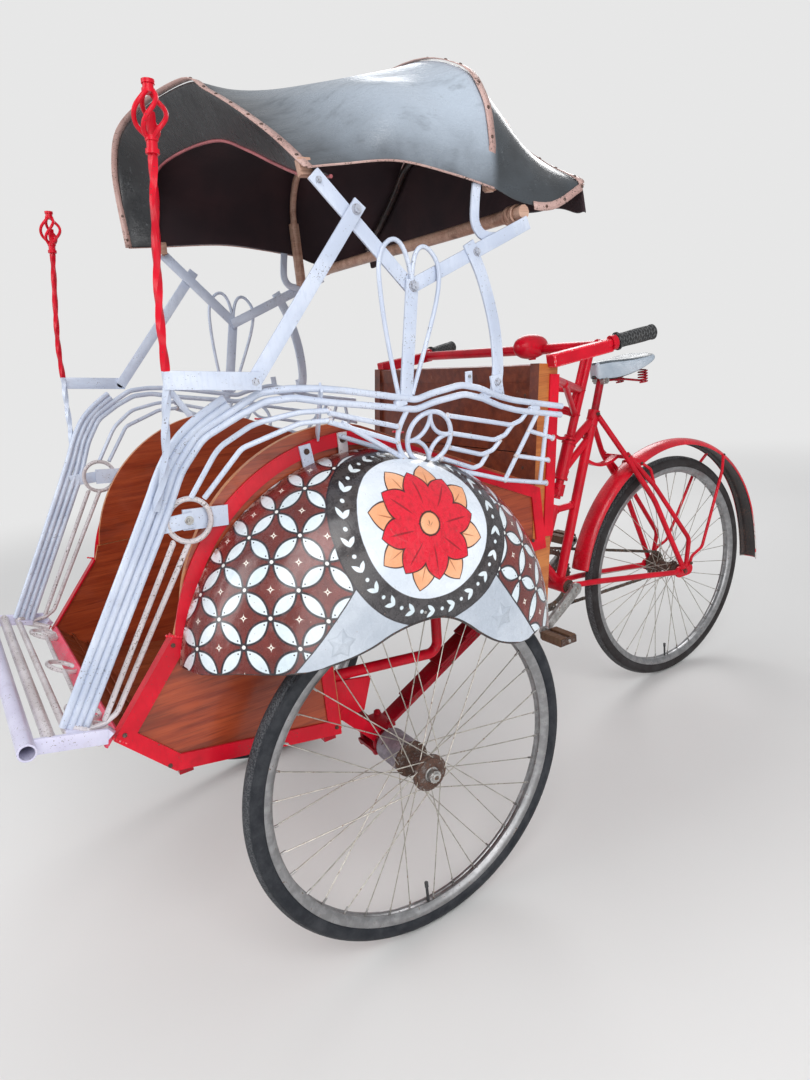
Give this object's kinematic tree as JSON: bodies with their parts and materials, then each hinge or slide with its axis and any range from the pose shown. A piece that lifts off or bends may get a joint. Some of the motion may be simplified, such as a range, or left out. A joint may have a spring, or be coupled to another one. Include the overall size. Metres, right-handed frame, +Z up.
{
  "type": "cycle rickshaw",
  "caption": "Pedal cycle rickshaw with a wooden passenger cab between two front wheels, steel railings, a folding-arm hood and a steered rear cycle frame.",
  "frame": {"origin": "on the floor under the middle of the overall length, in the centre plane", "axes": "+X forward over the footrest, +Y to the passenger's left, +Z up"},
  "size_m": [2.3475, 1.06, 1.6669],
  "materials": {
    "red_paint": "glossy brushed-on enamel, chipped at edges",
    "white_paint": "brushed-on enamel over welded rod",
    "grey_paint": "pale grey enamel, worn at bolts",
    "varnished_wood": "red-brown varnished plywood",
    "hood_leatherette": "black leatherette, glossy and creased",
    "fender_paint": "hand painted enamel with a kawung pattern",
    "seat_vinyl": "padded vinyl",
    "saddle_cover": "pale grey plastic sheeted cover",
    "tyre_rubber": "dusty black rubber",
    "rim_chrome": "dulled chrome",
    "spoke_steel": "dull zinc with rust specks",
    "hub_steel": "greasy grey steel, rusty flanges",
    "chain_steel": "oily chain",
    "black_rubber": "ribbed rubber"
  },
  "bodies": {
    "cab": {"back_panel": "varnished_wood", "fender_left": "fender_paint", "fender_right": "fender_paint", "floor_boards": "varnished_wood", "floor_frame": "red_paint", "footrest": "white_paint", "front_axle": "red_paint", "grips": "black_rubber", "hood_arm_left": "grey_paint", "hood_arm_right": "grey_paint", "hood_bows": "varnished_wood", "hood_cover": "hood_leatherette", "pole_left": "white_paint", "pole_right": "white_paint", "push_bar": "red_paint", "rail_left": "white_paint", "rail_right": "white_paint", "seat_board": "varnished_wood", "seat_cushion": "seat_vinyl", "seat_frame": "red_paint", "side_frame_left": "red_paint", "side_frame_right": "red_paint", "side_panels_left": "varnished_wood", "side_panels_right": "varnished_wood", "springs": "red_paint", "steering_post": "red_paint"},
    "front_left_wheel": {"front_left_hub": "hub_steel", "front_left_rim": "rim_chrome", "front_left_spokes": "spoke_steel", "front_left_tyre": "tyre_rubber"},
    "front_right_wheel": {"front_right_hub": "hub_steel", "front_right_rim": "rim_chrome", "front_right_spokes": "spoke_steel", "front_right_tyre": "tyre_rubber"},
    "rear_wheel": {"rear_hub": "hub_steel", "rear_rim": "rim_chrome", "rear_spokes": "spoke_steel", "rear_tyre": "tyre_rubber"},
    "cycle": {"chain": "chain_steel", "cycle_frame": "red_paint", "rear_fender": "red_paint", "saddle": "saddle_cover", "seat_post": "red_paint"},
    "crank_set": {"crank": "hub_steel", "pedals": "black_rubber"}
  },
  "joints": [
    {"name": "front_left_roll", "type": "hinge", "parent": "cab", "child": "front_left_wheel", "pos_m": [0.523, 0.43, 0.3555], "axis": [0, 1, 0], "continuous": true},
    {"name": "front_right_roll", "type": "hinge", "parent": "cab", "child": "front_right_wheel", "pos_m": [0.523, -0.43, 0.3555], "axis": [0, 1, 0], "continuous": true},
    {"name": "steering", "type": "hinge", "parent": "cab", "child": "cycle", "pos_m": [-0.177, 0, 0.452], "axis": [-0.3681, 0, 0.9298], "range_deg": [-40, 40]},
    {"name": "rear_roll", "type": "hinge", "parent": "cycle", "child": "rear_wheel", "pos_m": [-0.723, 0, 0.3555], "axis": [0, 1, 0], "continuous": true},
    {"name": "crank_turn", "type": "hinge", "parent": "cycle", "child": "crank_set", "pos_m": [-0.26, 0, 0.42], "axis": [0, 1, 0], "continuous": true}
  ]
}
